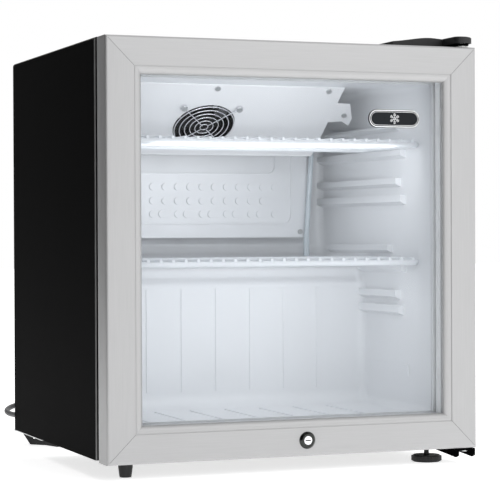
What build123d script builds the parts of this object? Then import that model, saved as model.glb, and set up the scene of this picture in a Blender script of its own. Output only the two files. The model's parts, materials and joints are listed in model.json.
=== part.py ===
"""Mini fridge with a glass door: cabinet, glazed door, shelves, fan, lock and compressor bay.

Frame: millimetres, +X to the right seen from the front, +Y to the back, +Z up. The origin is on the
floor under the middle of the fridge, without its mains lead. The door faces -Y and its hinge is at +X.
"""
from build123d import *
import os
from math import cos, radians, sin, tan

os.makedirs("parts", exist_ok=True)

# ---------------------------------------------------------------- driving dimensions
HALF_W = 225.0            # half the width of door and cabinet
FLOOR_GAP = 20.0          # floor to the lower edge of the door
DOOR_H = 466.4
DOOR_T = 32.0
GASKET_T = 10.0
CABINET_D = 358.0
TOTAL_D = 471.0           # lock face to wall spacers
LOCK_PROUD = 3.5

DOOR_FRONT = -TOTAL_D / 2 + LOCK_PROUD
DOOR_BACK = DOOR_FRONT + DOOR_T
CAB_FRONT = DOOR_BACK + GASKET_T
CAB_BACK = CAB_FRONT + CABINET_D
REAR = TOTAL_D / 2
CAB_BOTTOM = FLOOR_GAP + 1.5
CAB_TOP = FLOOR_GAP + 468.0
DOOR_TOP = FLOOR_GAP + DOOR_H

SHEET = 0.8               # shell, bay and panel steel
FLANGE = 14.0             # shell's folded front edge
PANEL_HALF = HALF_W - SHEET
LINER_T = 1.6

# room inside the liner
IN_X = 187.0
IN_BOTTOM = FLOOR_GAP + 36.0
IN_TOP = FLOOR_GAP + 430.0
UPPER_BACK = DOOR_FRONT + 363.0
LOWER_BACK = DOOR_FRONT + 231.0
STEP_FOOT = FLOOR_GAP + 186.0
STEP_EDGE = (DOOR_FRONT + 247.0, FLOOR_GAP + 208.0)
STEP_REAR = FLOOR_GAP + 226.0

# compressor bay behind the lower back wall
BAY_FRONT = LOWER_BACK + 40.0
BAY_TOP = FLOOR_GAP + 180.0

# door frame, measured inwards from the door's edge
FACE_W = 32.2             # flat face up to the groove
FRAME_W = 41.5            # edge of the visible glass
GLASS_EDGE = 33.5
GLASS_DEPTH = 8.5         # door face to outer pane
PANE_T = 4.0
PANE_GAP = 12.0
FRAME_BACK = GLASS_DEPTH + 2 * PANE_T + PANE_GAP

LOCK_X, LOCK_Z = 10.0, FLOOR_GAP + 18.0
HINGE_X, HINGE_Y = 214.0, DOOR_FRONT + 13.0
PIN_R, PIN_FIT = 3.0, 0.05

# shelves
SHELF_FRONT = DOOR_FRONT + 62.0
SHELF_D = 146.0
SHELF_HALF = 181.3        # middle of the side rod
ROD_R, WIRE_R = 3.4, 1.8
SHELF_UPPER, SHELF_LOWER = FLOOR_GAP + 352.0, FLOOR_GAP + 212.3
WIRE_PITCH = 15.0
SHELF_CORNER = 12.0

# slanted fan cover: its plane starts at the ceiling and runs down to the back
COVER_TILT = 37.0
COVER_TOP_Y = DOOR_FRONT + 170.0
COVER_L = 133.0
COVER_HALF = 135.0
FAN_X, FAN_S = -28.0, 77.5
FAN_SIZE, FAN_DEPTH, FAN_HOLES = 80.0, 25.0, 71.5
FAN_BORE_R = 39.0
BLADES, BLADE_PITCH = 7, 32.0

EVAP_Y = DOOR_FRONT + 338.0
EVAP_HALF, EVAP_Z0, EVAP_Z1 = 155.0, FLOOR_GAP + 245.5, FLOOR_GAP + 400.0

COMP_X, COMP_Y = 62.0, 102.0
CONDENSER_Y = 200.0
CORD_R = 3.3


# ---------------------------------------------------------------- helpers
def wall(y):
    """Plane facing the front at depth y, with x to the right and z up."""
    return Plane.XZ.offset(-y)


def save(piece, name):
    piece.part.label = name
    export_step(piece.part, f"parts/{name}.step")


def box(x0, x1, y0, y1, z0, z1, mode=Mode.ADD):
    """Box between two corners, joined to the part being built."""
    with Locations(((x0 + x1) / 2, (y0 + y1) / 2, (z0 + z1) / 2)):
        Box(x1 - x0, y1 - y0, z1 - z0, mode=mode)


def bar(start, end, radius, mode=Mode.ADD):
    """Round bar between two points."""
    axis = Vector(end) - Vector(start)
    with Locations(Plane(origin=start, z_dir=axis)):
        Cylinder(radius, axis.length, align=(Align.CENTER, Align.CENTER, Align.MIN), mode=mode)


def bend_radii(points, share=0.45):
    """Largest tangent arc at each corner of a route that its two runs allow."""
    radii = []
    for before, corner, after in zip(points, points[1:], points[2:]):
        run_in, run_out = Vector(corner) - Vector(before), Vector(after) - Vector(corner)
        turn = radians(run_in.get_angle(run_out))
        radii.append(share * min(run_in.length, run_out.length) / tan(turn / 2))
    return radii


def tube(points, radius, inner=0.0, share=0.45):
    """Tube of straight runs joined by tangent arcs along a route."""
    with BuildPart() as pipe:
        with BuildLine() as path:
            FilletPolyline(*points, radius=bend_radii(points, share))
        with BuildSketch(Plane(origin=path.line @ 0, z_dir=path.line % 0)):
            Circle(radius)
            if inner:
                Circle(inner, mode=Mode.SUBTRACT)
        sweep()
    return pipe


# ---------------------------------------------------------------- cabinet: shell and panels
def cavity(grow):
    """The room inside the liner, or the liner's outside when grown by its thickness."""
    with BuildPart() as room:
        with BuildSketch(Plane.YZ) as profile:
            with BuildLine():
                Polyline((CAB_FRONT - 20, IN_BOTTOM), (LOWER_BACK, IN_BOTTOM), (LOWER_BACK, STEP_FOOT),
                         STEP_EDGE, (UPPER_BACK, STEP_REAR), (UPPER_BACK, IN_TOP),
                         (CAB_FRONT - 20, IN_TOP), close=True)
            make_face()
            back = profile.vertices().sort_by(Axis.X)[2:]
            fillet(back.filter_by(lambda v: v.Y < IN_BOTTOM + 1), 18)
            fillet(profile.vertices().filter_by(lambda v: v.X > UPPER_BACK - 1), 14)
            fillet(profile.vertices().filter_by(lambda v: abs(v.Y - STEP_FOOT) < 1), 9)
            fillet(profile.vertices().filter_by(lambda v: abs(v.Y - STEP_EDGE[1]) < 1), 14)
        extrude(amount=IN_X, both=True)
        sides = room.faces().filter_by(Axis.X).edges()
        fillet(sides.filter_by(lambda e: (e @ 0.5).Y > CAB_FRONT - 19), 10)
        if grow:
            offset(amount=grow, kind=Kind.ARC)
        box(-300, 300, CAB_FRONT - 60, CAB_FRONT, 0, 600, Mode.SUBTRACT)
    return room.part


with BuildPart() as outer_shell:
    with BuildSketch(wall(CAB_FRONT)):
        with BuildLine():
            Polyline((-HALF_W, CAB_BOTTOM), (-HALF_W, CAB_TOP), (HALF_W, CAB_TOP), (HALF_W, CAB_BOTTOM),
                     close=True)
        make_face()
    extrude(amount=-CABINET_D)
    fillet(outer_shell.edges().filter_by(Axis.Y).filter_by(lambda e: (e @ 0).Z > CAB_TOP - 1), 4)
    front_rim = outer_shell.faces().sort_by(Axis.Y)[0].edges()
    fillet(front_rim.filter_by(lambda e: (e @ 0.5).Z > CAB_BOTTOM + 1), 1.6)
    box(-PANEL_HALF, PANEL_HALF, CAB_FRONT + SHEET, CAB_BACK - SHEET, 0, CAB_TOP - SHEET,
        Mode.SUBTRACT)
    box(-HALF_W + FLANGE, HALF_W - FLANGE, CAB_FRONT - 1, CAB_BACK + 1, 0, CAB_TOP - FLANGE, Mode.SUBTRACT)
    box(-PANEL_HALF, PANEL_HALF, BAY_FRONT, CAB_BACK + 1, 0, BAY_TOP, Mode.SUBTRACT)
save(outer_shell, "outer_shell")

with BuildPart() as bottom_panel:
    box(-PANEL_HALF, PANEL_HALF, CAB_FRONT + 2, BAY_FRONT, CAB_BOTTOM, CAB_BOTTOM + SHEET)
    for x in (-HALF_W + 38, HALF_W - 38):
        with Locations((x, CAB_FRONT + 13, CAB_BOTTOM + SHEET)):
            Hole(3.5)
save(bottom_panel, "bottom_panel")

SILL_TOP = FLOOR_GAP + 30.0
SLOT_X0, SLOT_X1, SLOT_HALF_H = LOCK_X - 8.0, LOCK_X + 17.0, 5.5
with BuildPart() as front_sill:
    box(-HALF_W + FLANGE + 0.2, HALF_W - FLANGE - 0.2, CAB_FRONT, CAB_FRONT + 1.2, CAB_BOTTOM, SILL_TOP)
    box(SLOT_X0, SLOT_X1, CAB_FRONT - 1, CAB_FRONT + 2, LOCK_Z - SLOT_HALF_H, LOCK_Z + SLOT_HALF_H,
        Mode.SUBTRACT)
save(front_sill, "front_sill")

POCKET = (LOCK_X - 17, LOCK_X + 21, CAB_FRONT + 1.6, CAB_FRONT + 18, LOCK_Z - 11, LOCK_Z + 15.2)
with BuildPart() as lock_strike_pocket:
    box(*POCKET)
    box(POCKET[0] + 1, POCKET[1] - 1, POCKET[2] - 1, POCKET[3] - 1, POCKET[4] + 1, POCKET[5] - 1,
        Mode.SUBTRACT)
save(lock_strike_pocket, "lock_strike_pocket")

with BuildPart() as rear_panel:
    box(-HALF_W + FLANGE + 0.2, HALF_W - FLANGE - 0.2, CAB_BACK - SHEET, CAB_BACK, BAY_TOP,
        CAB_TOP - FLANGE - 0.2)
save(rear_panel, "rear_panel")

DRAIN_X, DRAIN_Y = 152.0, 101.0
with BuildPart() as compressor_bay_panel:
    box(-PANEL_HALF, PANEL_HALF, BAY_FRONT, BAY_FRONT + SHEET, CAB_BOTTOM + 1, BAY_TOP)
    box(-PANEL_HALF, PANEL_HALF, BAY_FRONT, CAB_BACK - SHEET, BAY_TOP - SHEET, BAY_TOP)
    bar((DRAIN_X, DRAIN_Y, BAY_TOP - 9), (DRAIN_X, DRAIN_Y, BAY_TOP + 9), 6, Mode.SUBTRACT)
save(compressor_bay_panel, "compressor_bay_panel")

# ---------------------------------------------------------------- insulation and liner
liner_outside = cavity(LINER_T)
liner_inside = cavity(0)

with BuildPart() as insulation_foam:
    with BuildSketch(Plane.YZ):
        with BuildLine():
            Polyline((CAB_FRONT + LINER_T, CAB_BOTTOM + SHEET), (BAY_FRONT, CAB_BOTTOM + SHEET),
                     (BAY_FRONT, BAY_TOP), (CAB_BACK - SHEET, BAY_TOP), (CAB_BACK - SHEET, CAB_TOP - SHEET),
                     (CAB_FRONT + LINER_T, CAB_TOP - SHEET), close=True)
        make_face()
    extrude(amount=PANEL_HALF, both=True)
    add(liner_outside, mode=Mode.SUBTRACT)
    box(*POCKET, Mode.SUBTRACT)
    bar((DRAIN_X, DRAIN_Y, BAY_TOP - 9), (DRAIN_X, DRAIN_Y, STEP_REAR + 9), 6, Mode.SUBTRACT)
    for x in (-HALF_W + 38, HALF_W - 38):
        bar((x, CAB_FRONT + 13, CAB_BOTTOM), (x, CAB_FRONT + 13, CAB_BOTTOM + 20), 5.2, Mode.SUBTRACT)
save(insulation_foam, "insulation_foam")

# ledges on both side walls: bottom, top, front end, back end; each pair of ledges takes one shelf
LEDGE_OUT = 7.0
LEDGES = [
    (375.0, 382.0, 125.0, 339.0),
    (341.0, 351.9, 108.0, 362.0),
    (306.7, 317.7, 122.0, 362.0),
    (284.6, 296.7, 109.0, 362.0),
    (225.5, 236.0, 145.0, 330.0),
    (202.0, 212.2, 108.0, 236.0),
    (169.0, 181.0, 123.0, 230.0),
    (150.0, 163.0, 115.0, 230.0),
]
RIB_PITCH, RIB_W, RIB_OUT = 45.0, 6.0, 1.2
with BuildPart() as ledges:
    for z0, z1, front, back in LEDGES:
        for side in (-1, 1):
            root, tip = side * (IN_X + 0.5), side * (IN_X - LEDGE_OUT)
            with BuildSketch(wall(DOOR_FRONT + front)):
                with BuildLine():
                    Polyline((root, FLOOR_GAP + z0), (tip, FLOOR_GAP + z0 + 4), (tip, FLOOR_GAP + z1),
                             (root, FLOOR_GAP + z1), close=True)
                make_face()
            extrude(amount=front - back)
    for count in range(-3, 4):
        x = -11 + count * RIB_PITCH
        box(x - RIB_W / 2, x + RIB_W / 2, LOWER_BACK - RIB_OUT, LOWER_BACK + 0.5, FLOOR_GAP + 57, FLOOR_GAP + 183)
        box(x - RIB_W / 2, x + RIB_W / 2, CAB_FRONT + 40, LOWER_BACK - 30, IN_BOTTOM - 0.5, IN_BOTTOM + 1)
    for side in (-1, 1):
        x0, x1 = sorted((side * (IN_X - 0.8), side * (IN_X + 0.5)))
        box(x0, x1, DOOR_FRONT + 102, DOOR_FRONT + 204, FLOOR_GAP + 78, FLOOR_GAP + 91)
    add(liner_outside, mode=Mode.INTERSECT)

with BuildPart() as inner_liner:
    add(liner_outside)
    with BuildSketch(wall(CAB_FRONT)):
        with BuildLine():
            edge_x, edge_top = HALF_W - FLANGE - 0.2, CAB_TOP - FLANGE - 0.2
            Polyline((-edge_x, SILL_TOP + 0.2), (edge_x, SILL_TOP + 0.2), (edge_x, edge_top),
                     (-edge_x, edge_top), close=True)
        make_face()
    extrude(amount=-LINER_T)
    add(liner_inside, mode=Mode.SUBTRACT)
    add(ledges.part)
    bar((DRAIN_X, DRAIN_Y, STEP_REAR - 15), (DRAIN_X, DRAIN_Y, STEP_REAR + 9), 4, Mode.SUBTRACT)
save(inner_liner, "inner_liner")

# ---------------------------------------------------------------- evaporator and drain
EVAP_T = 2.0
DOT_R, DOT_PITCH, EMBOSS = 4.6, 16.8, 1.6
EVAP_SCREWS = [(x, z) for x in (-EVAP_HALF + 10, EVAP_HALF - 10) for z in (EVAP_Z0 + 7.5, EVAP_Z1 - 12)]
with BuildPart() as evaporator_plate:
    box(-EVAP_HALF, EVAP_HALF, EVAP_Y, EVAP_Y + EVAP_T, EVAP_Z0, EVAP_Z1)
    with BuildSketch(wall(EVAP_Y)):
        for row, z in enumerate((FLOOR_GAP + 311.0, FLOOR_GAP + 293.0, FLOOR_GAP + 276.0)):
            for count in range(-7, 7):
                x = 8.0 + count * DOT_PITCH
                wide = (row == 1 and count == 5) or (row == 2 and count % 2)
                if row == 1 and count == 6:
                    continue
                with Locations((x + (6 if row == 1 and count == 5 else 0), z)):
                    if wide:
                        SlotOverall(4 * DOT_R + (3 if row == 1 else 0), 2 * DOT_R)
                    else:
                        Circle(DOT_R)
    extrude(amount=EMBOSS)
    with BuildSketch(wall(EVAP_Y)):
        with Locations((0, FLOOR_GAP + 331.0)):
            RectangleRounded(266, 137, 12)
            RectangleRounded(263, 134, 10.5, mode=Mode.SUBTRACT)
        with Locations((-8, FLOOR_GAP + 362.0)):
            RectangleRounded(236, 68, 10)
            RectangleRounded(233, 65, 8.5, mode=Mode.SUBTRACT)
    extrude(amount=EMBOSS)
    for x, z in EVAP_SCREWS:
        bar((x, EVAP_Y - 5, z), (x, EVAP_Y + 5, z), 2, Mode.SUBTRACT)
save(evaporator_plate, "evaporator_plate")

with BuildPart() as evaporator_clips:
    for x, z in EVAP_SCREWS:
        box(x - 6, x + 6, EVAP_Y + EVAP_T, UPPER_BACK, z - 6, z + 6)
        bar((x, EVAP_Y, z), (x, UPPER_BACK - 3, z), 2, Mode.SUBTRACT)
save(evaporator_clips, "evaporator_clips")

with BuildPart() as drain_tube:
    bar((DRAIN_X, DRAIN_Y, STEP_REAR - 26), (DRAIN_X, DRAIN_Y, STEP_REAR + 18), 3.9)
    with BuildSketch(Plane.XY.offset(STEP_REAR + 18)):
        with Locations((DRAIN_X, DRAIN_Y)):
            Circle(3.3)
    with BuildSketch(Plane.XY.offset(FLOOR_GAP + 385)):
        with Locations((DRAIN_X + 9.5, DRAIN_Y)):
            Circle(3.3)
    loft()
    with BuildSketch(Plane.XY.offset(BAY_TOP - 16)):
        with Locations((DRAIN_X, DRAIN_Y)):
            Circle(5.8)
    extrude(amount=38)
    bar((DRAIN_X, DRAIN_Y, BAY_TOP - 17), (DRAIN_X, DRAIN_Y, BAY_TOP + 16), 4.4, Mode.SUBTRACT)
save(drain_tube, "drain_tube")

# ---------------------------------------------------------------- fan and its slanted cover
cover_face = Vector(0, -sin(radians(COVER_TILT)), -cos(radians(COVER_TILT)))
cover_plane = Plane(origin=(0, COVER_TOP_Y, IN_TOP), x_dir=(1, 0, 0), z_dir=cover_face)
fan_plane = Plane(origin=cover_plane.from_local_coords((FAN_X, -FAN_S, 0)), x_dir=(1, 0, 0), z_dir=cover_face)
FAN_HOLE_SPOTS = [(x * FAN_HOLES / 2, y * FAN_HOLES / 2) for x in (-1, 1) for y in (-1, 1)]
COVER_SCREWS = [(-30.0, -7.5), (116.0, -7.5), (152.0, -52.0), (-152.0, -52.0)]

with BuildPart() as fan_cover:
    with BuildSketch(cover_plane):
        with BuildLine():
            Polyline((-COVER_HALF, -2), (COVER_HALF, -2), (COVER_HALF, -30), (COVER_HALF + 18, -31),
                     (COVER_HALF + 30, -58), (COVER_HALF + 30, -72), (COVER_HALF + 18, -64),
                     (COVER_HALF, -66), (COVER_HALF, -COVER_L), (-COVER_HALF, -COVER_L),
                     (-COVER_HALF, -66), (-COVER_HALF - 18, -64), (-COVER_HALF - 30, -72),
                     (-COVER_HALF - 30, -58), (-COVER_HALF - 18, -31), (-COVER_HALF, -30), close=True)
        make_face()
        with Locations((FAN_X, -FAN_S)):
            Circle(FAN_BORE_R, mode=Mode.SUBTRACT)
            with Locations(*FAN_HOLE_SPOTS):
                Circle(2.1, mode=Mode.SUBTRACT)
        with Locations(*COVER_SCREWS):
            Circle(2.1, mode=Mode.SUBTRACT)
    extrude(amount=-1.0)
    lip = cover_plane.from_local_coords((0, -COVER_L, 0))
    box(-COVER_HALF, COVER_HALF, lip.Y - 0.6, lip.Y + 16, lip.Z - 0.2, lip.Z + 0.8)
    box(-COVER_HALF, COVER_HALF, COVER_TOP_Y + 1.6, COVER_TOP_Y + 5, IN_TOP - 1.2, IN_TOP)
save(fan_cover, "fan_cover")

with BuildPart() as fan_frame:
    with BuildSketch(fan_plane.offset(-1.0)):
        RectangleRounded(FAN_SIZE, FAN_SIZE, 5)
        Circle(FAN_BORE_R - 0.5, mode=Mode.SUBTRACT)
        with Locations(*FAN_HOLE_SPOTS):
            Circle(2.1, mode=Mode.SUBTRACT)
    extrude(amount=-FAN_DEPTH)
    with BuildSketch(fan_plane.offset(-1.0 - FAN_DEPTH)):
        Circle(15)
        with PolarLocations(26, 4, start_angle=45):
            Rectangle(26, 4)
    extrude(amount=3)
    with Locations(fan_plane.offset(-1.0 - FAN_DEPTH + 3)):
        Cylinder(1.5, 16, align=(Align.CENTER, Align.CENTER, Align.MIN))
save(fan_frame, "fan_frame")

with BuildPart() as fan_rotor:
    with BuildSketch(fan_plane.offset(-4.0)):
        Circle(17)
    extrude(amount=-17)
    with BuildSketch(fan_plane.offset(-5.5)):
        Circle(14.5)
    extrude(amount=-18, mode=Mode.SUBTRACT)
    with BuildSketch(fan_plane.offset(-5.5)):
        Circle(4)
        Circle(1.5 + PIN_FIT, mode=Mode.SUBTRACT)
    extrude(amount=-14)
    for blade in range(BLADES):
        turn = radians(blade * 360 / BLADES)
        outwards = fan_plane.x_dir * cos(turn) + fan_plane.y_dir * sin(turn)
        forwards = fan_plane.y_dir * cos(turn) - fan_plane.x_dir * sin(turn)
        root = fan_plane.origin - cover_face * 12.5 + outwards * 16
        with BuildSketch(Plane(origin=root, x_dir=forwards, z_dir=outwards)):
            Rectangle(15, 1.4, rotation=BLADE_PITCH)
        extrude(amount=20)
save(fan_rotor, "fan_rotor")

GUARD_WIRE = 0.75
GUARD_OFF = 1.6
with BuildPart() as fan_guard:
    for ring in (5.0, 11.5, 18.0, 24.5, 31.0, 37.5):
        with Locations(fan_plane.offset(GUARD_OFF)):
            Torus(ring, GUARD_WIRE)
    for x, y in FAN_HOLE_SPOTS:
        inner = fan_plane.from_local_coords((x * 0.09, y * 0.09, GUARD_OFF + 1.0))
        outer = fan_plane.from_local_coords((x * 0.93, y * 0.93, GUARD_OFF + 1.0))
        bar(tuple(inner), tuple(outer), GUARD_WIRE)
        with Locations(Plane(origin=fan_plane.from_local_coords((x, y, 0.1)), z_dir=cover_face)):
            Cylinder(4.2, 3.4, align=(Align.CENTER, Align.CENTER, Align.MIN))
            Cylinder(2.3, 9, mode=Mode.SUBTRACT)
save(fan_guard, "fan_guard")

with BuildPart() as fan_guard_screws:
    for x, y in FAN_HOLE_SPOTS:
        with Locations(Plane(origin=fan_plane.from_local_coords((x, y, 3.5)), z_dir=cover_face)):
            Cylinder(3.6, 1.8, align=(Align.CENTER, Align.CENTER, Align.MIN))
            Cylinder(2.0, 24, align=(Align.CENTER, Align.CENTER, Align.MAX))
save(fan_guard_screws, "fan_guard_screws")


# ---------------------------------------------------------------- wire shelves
def wire_shelf(z):
    """Coated wire shelf: a rounded frame of thick rod, a middle rod and thin wires on top."""
    front, back, level = SHELF_FRONT, SHELF_FRONT + SHELF_D, z + ROD_R
    with BuildPart() as shelf:
        with BuildLine() as frame:
            FilletPolyline((SHELF_HALF, front, level), (SHELF_HALF, back, level), (-SHELF_HALF, back, level),
                           (-SHELF_HALF, front, level), close=True, radius=SHELF_CORNER)
        with BuildSketch(Plane(origin=frame.line @ 0, z_dir=frame.line % 0)):
            Circle(ROD_R)
        sweep()
        count = int(2 * (SHELF_HALF - 8) / WIRE_PITCH)
        for index in range(count + 1):
            x = (index - count / 2) * WIRE_PITCH
            top = level + ROD_R + WIRE_R - 0.8
            bar((x, front - 2.5, top), (x, back + 2.5, top), WIRE_R)
        middle = (front + back) / 2
        bar((-SHELF_HALF, middle, level), (SHELF_HALF, middle, level), ROD_R - 0.4)
    return shelf


upper_shelf = wire_shelf(SHELF_UPPER)
save(upper_shelf, "upper_shelf")
lower_shelf = wire_shelf(SHELF_LOWER)
save(lower_shelf, "lower_shelf")


# ---------------------------------------------------------------- door frame and glazing
def frame_rail(corner, inwards, run, length):
    """One mitred rail: hollow section with a flat face, a groove and a rounded glazing bead."""
    across = Vector(inwards).cross(Vector(0, 1, 0))
    section = Plane(origin=corner, x_dir=inwards, z_dir=across)
    with BuildPart() as rail:
        with BuildSketch(section) as profile:
            with BuildLine():
                Polyline((FRAME_W, 4.6), (FRAME_W, GLASS_DEPTH), (GLASS_EDGE - 0.3, GLASS_DEPTH),
                         (GLASS_EDGE - 0.3, DOOR_T), (0, DOOR_T), (0, 0), (FACE_W, 0), (FACE_W, 0.9),
                         (FACE_W + 1.1, 0.9), (FACE_W + 1.1, 0.5))
                ThreePointArc((FACE_W + 1.1, 0.5), (FACE_W + 6.2, 1.4), (FRAME_W, 4.6))
            make_face()
            fillet(profile.vertices().filter_by(lambda v: v.X < 0.1 and v.Y < 0.1), 3.2)
            fillet(profile.vertices().filter_by(lambda v: v.X < 0.1 and v.Y > DOOR_T - 0.1), 1.2)
            with Locations((16.6, 16.1)):
                Rectangle(28.8, 27.8, mode=Mode.SUBTRACT)
        extrude(amount=length * Vector(run).dot(across))
        with BuildSketch(wall(DOOR_FRONT)):
            with BuildLine():
                start, along, inn = Vector(corner), Vector(run), Vector(inwards)
                corners = [start, start + along * length, start + along * (length - FRAME_W) + inn * FRAME_W,
                           start + along * FRAME_W + inn * FRAME_W]
                Polyline([(p.X, p.Z) for p in corners], close=True)
            make_face()
        extrude(amount=-DOOR_T - 1, mode=Mode.INTERSECT)
    return rail


door_rail_left = frame_rail((-HALF_W, DOOR_FRONT, FLOOR_GAP), (1, 0, 0), (0, 0, 1), DOOR_H)
save(door_rail_left, "door_rail_left")
door_rail_right = frame_rail((HALF_W, DOOR_FRONT, FLOOR_GAP), (-1, 0, 0), (0, 0, 1), DOOR_H)
save(door_rail_right, "door_rail_right")

BUSH_R = 5.0
top_rail = frame_rail((-HALF_W, DOOR_FRONT, DOOR_TOP), (0, 0, -1), (1, 0, 0), 2 * HALF_W)
with BuildPart() as door_rail_top:
    add(top_rail.part)
    bar((HINGE_X, HINGE_Y, DOOR_TOP - 3), (HINGE_X, HINGE_Y, DOOR_TOP + 3), BUSH_R, Mode.SUBTRACT)
save(door_rail_top, "door_rail_top")

LOCK_R = 8.0
bottom_rail = frame_rail((-HALF_W, DOOR_FRONT, FLOOR_GAP), (0, 0, 1), (1, 0, 0), 2 * HALF_W)
with BuildPart() as door_rail_bottom:
    add(bottom_rail.part)
    bar((HINGE_X, HINGE_Y, FLOOR_GAP - 3), (HINGE_X, HINGE_Y, FLOOR_GAP + 3), BUSH_R, Mode.SUBTRACT)
    bar((LOCK_X, DOOR_FRONT - 3, LOCK_Z), (LOCK_X, DOOR_BACK + 3, LOCK_Z), LOCK_R, Mode.SUBTRACT)
save(door_rail_bottom, "door_rail_bottom")

KEY_ARM, KEY_0, KEY_1 = 70.0, 2.6, 30.6
with BuildPart() as door_corner_keys:
    for side in (-1, 1):
        for edge, up in ((FLOOR_GAP, 1), (DOOR_TOP, -1)):
            x_out, x_in, x_arm = (side * (HALF_W - t) for t in (KEY_0, KEY_1, KEY_ARM))
            z_out, z_in, z_arm = (edge + up * t for t in (KEY_0, KEY_1, KEY_ARM))
            depth = (DOOR_FRONT + KEY_0, DOOR_FRONT + 29.6)
            box(min(x_out, x_in), max(x_out, x_in), *depth, min(z_out, z_arm), max(z_out, z_arm))
            box(min(x_out, x_arm), max(x_out, x_arm), *depth, min(z_out, z_in), max(z_out, z_in))
    for z in (FLOOR_GAP, DOOR_TOP):
        bar((HINGE_X, HINGE_Y, z - 16), (HINGE_X, HINGE_Y, z + 16), BUSH_R, Mode.SUBTRACT)
save(door_corner_keys, "door_corner_keys")


def hinge_bush(edge, up, flange):
    """Flanged nylon bush in the door's edge; the pin turns in its blind bore."""
    bar((HINGE_X, HINGE_Y, edge - up * flange), (HINGE_X, HINGE_Y, edge), 7)
    bar((HINGE_X, HINGE_Y, edge - up * flange), (HINGE_X, HINGE_Y, edge + up * 15), BUSH_R)
    bar((HINGE_X, HINGE_Y, edge - up * (flange + 1)), (HINGE_X, HINGE_Y, edge + up * 13), PIN_R + PIN_FIT,
        Mode.SUBTRACT)


with BuildPart() as hinge_bushes:
    hinge_bush(FLOOR_GAP, 1, 0.6)
    hinge_bush(DOOR_TOP, -1, 1.6)
save(hinge_bushes, "hinge_bushes")


def frame_ring(inner, outer, y0, y1):
    """Rectangular ring between two distances in from the door's edge."""
    with BuildPart() as ring:
        middle = FLOOR_GAP + DOOR_H / 2
        with BuildSketch(wall(y0)):
            with Locations((0, middle)):
                Rectangle(2 * (HALF_W - outer), DOOR_H - 2 * outer)
                Rectangle(2 * (HALF_W - inner), DOOR_H - 2 * inner, mode=Mode.SUBTRACT)
        extrude(amount=y0 - y1)
    return ring


def pane(y0):
    """One sheet of glass with its edges in the frame."""
    with BuildPart() as sheet:
        half_w, z0, z1 = HALF_W - GLASS_EDGE, FLOOR_GAP + GLASS_EDGE, DOOR_TOP - GLASS_EDGE
        box(-half_w, half_w, y0, y0 + PANE_T, z0, z1)
    return sheet


outer_pane = pane(DOOR_FRONT + GLASS_DEPTH)
save(outer_pane, "outer_pane")
inner_pane = pane(DOOR_FRONT + GLASS_DEPTH + PANE_T + PANE_GAP)
save(inner_pane, "inner_pane")
glazing_spacer = frame_ring(FRAME_W - 1, GLASS_EDGE + 0.5, DOOR_FRONT + GLASS_DEPTH + PANE_T,
                            DOOR_FRONT + GLASS_DEPTH + PANE_T + PANE_GAP)
save(glazing_spacer, "glazing_spacer")
door_back_trim = frame_ring(FRAME_W + 1, GLASS_EDGE - 0.2, DOOR_FRONT + FRAME_BACK, DOOR_BACK)
save(door_back_trim, "door_back_trim")

GASKET_OUT, GASKET_IN = 28.5, 36.0
with BuildPart() as door_gasket:
    middle = FLOOR_GAP + DOOR_H / 2
    with BuildSketch(wall(DOOR_BACK)):
        with Locations((0, middle)):
            Rectangle(2 * (HALF_W - GASKET_OUT), DOOR_H - 2 * GASKET_OUT)
            Rectangle(2 * (HALF_W - GASKET_IN), DOOR_H - 2 * GASKET_IN, mode=Mode.SUBTRACT)
    extrude(amount=-GASKET_T)
    with BuildSketch(wall(DOOR_BACK + 3)):
        with Locations((0, middle)):
            Rectangle(2 * (HALF_W - GASKET_OUT - 2.2), DOOR_H - 2 * GASKET_OUT - 4.4)
            Rectangle(2 * (HALF_W - GASKET_IN + 2.2), DOOR_H - 2 * GASKET_IN + 4.4, mode=Mode.SUBTRACT)
    extrude(amount=-GASKET_T + 5, mode=Mode.SUBTRACT)
save(door_gasket, "door_gasket")

BADGE_X, BADGE_Z, BADGE_W, BADGE_H = 123.0, FLOOR_GAP + 382.0, 65.0, 21.0
with BuildPart() as door_badge:
    with BuildSketch(wall(DOOR_FRONT + GLASS_DEPTH)):
        with Locations((BADGE_X, BADGE_Z)):
            SlotOverall(BADGE_W, BADGE_H)
    extrude(amount=2.2)
    fillet(door_badge.faces().sort_by(Axis.Y)[0].edges(), 1.0)
save(door_badge, "door_badge")

# ---------------------------------------------------------------- key lock
BARREL_R = 5.0
CAM_FRONT = CAB_FRONT + 4.0
with BuildPart() as lock_housing:
    with BuildSketch(Plane.XY) as half:
        with BuildLine():
            y = DOOR_FRONT
            Polyline((BARREL_R + 0.05, y - LOCK_PROUD), (7.4, y - LOCK_PROUD), (9.8, y), (LOCK_R, y),
                     (LOCK_R, DOOR_BACK + 4.5), (BARREL_R + 0.05, DOOR_BACK + 4.5), close=True)
        make_face()
    revolve(axis=Axis.Y)
with BuildPart() as lock_body:
    with Locations((LOCK_X, 0, LOCK_Z)):
        add(lock_housing.part)
    with BuildSketch(wall(DOOR_BACK)):
        with Locations((LOCK_X, LOCK_Z)):
            RegularPolygon(9.4, 6)
            Circle(LOCK_R - 0.3, mode=Mode.SUBTRACT)
    extrude(amount=-3.5)
save(lock_body, "lock_housing")

with BuildPart() as lock_barrel:
    bar((LOCK_X, DOOR_FRONT - LOCK_PROUD + 0.8, LOCK_Z), (LOCK_X, DOOR_BACK + 7, LOCK_Z), BARREL_R)
    box(LOCK_X - 3, LOCK_X + 3, DOOR_BACK + 7, CAM_FRONT + 2, LOCK_Z - 3, LOCK_Z + 3)
    box(LOCK_X - 3.2, LOCK_X + 3.2, DOOR_FRONT - LOCK_PROUD, DOOR_FRONT + 14, LOCK_Z - 0.6, LOCK_Z + 0.6,
        Mode.SUBTRACT)
save(lock_barrel, "lock_barrel")

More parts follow.
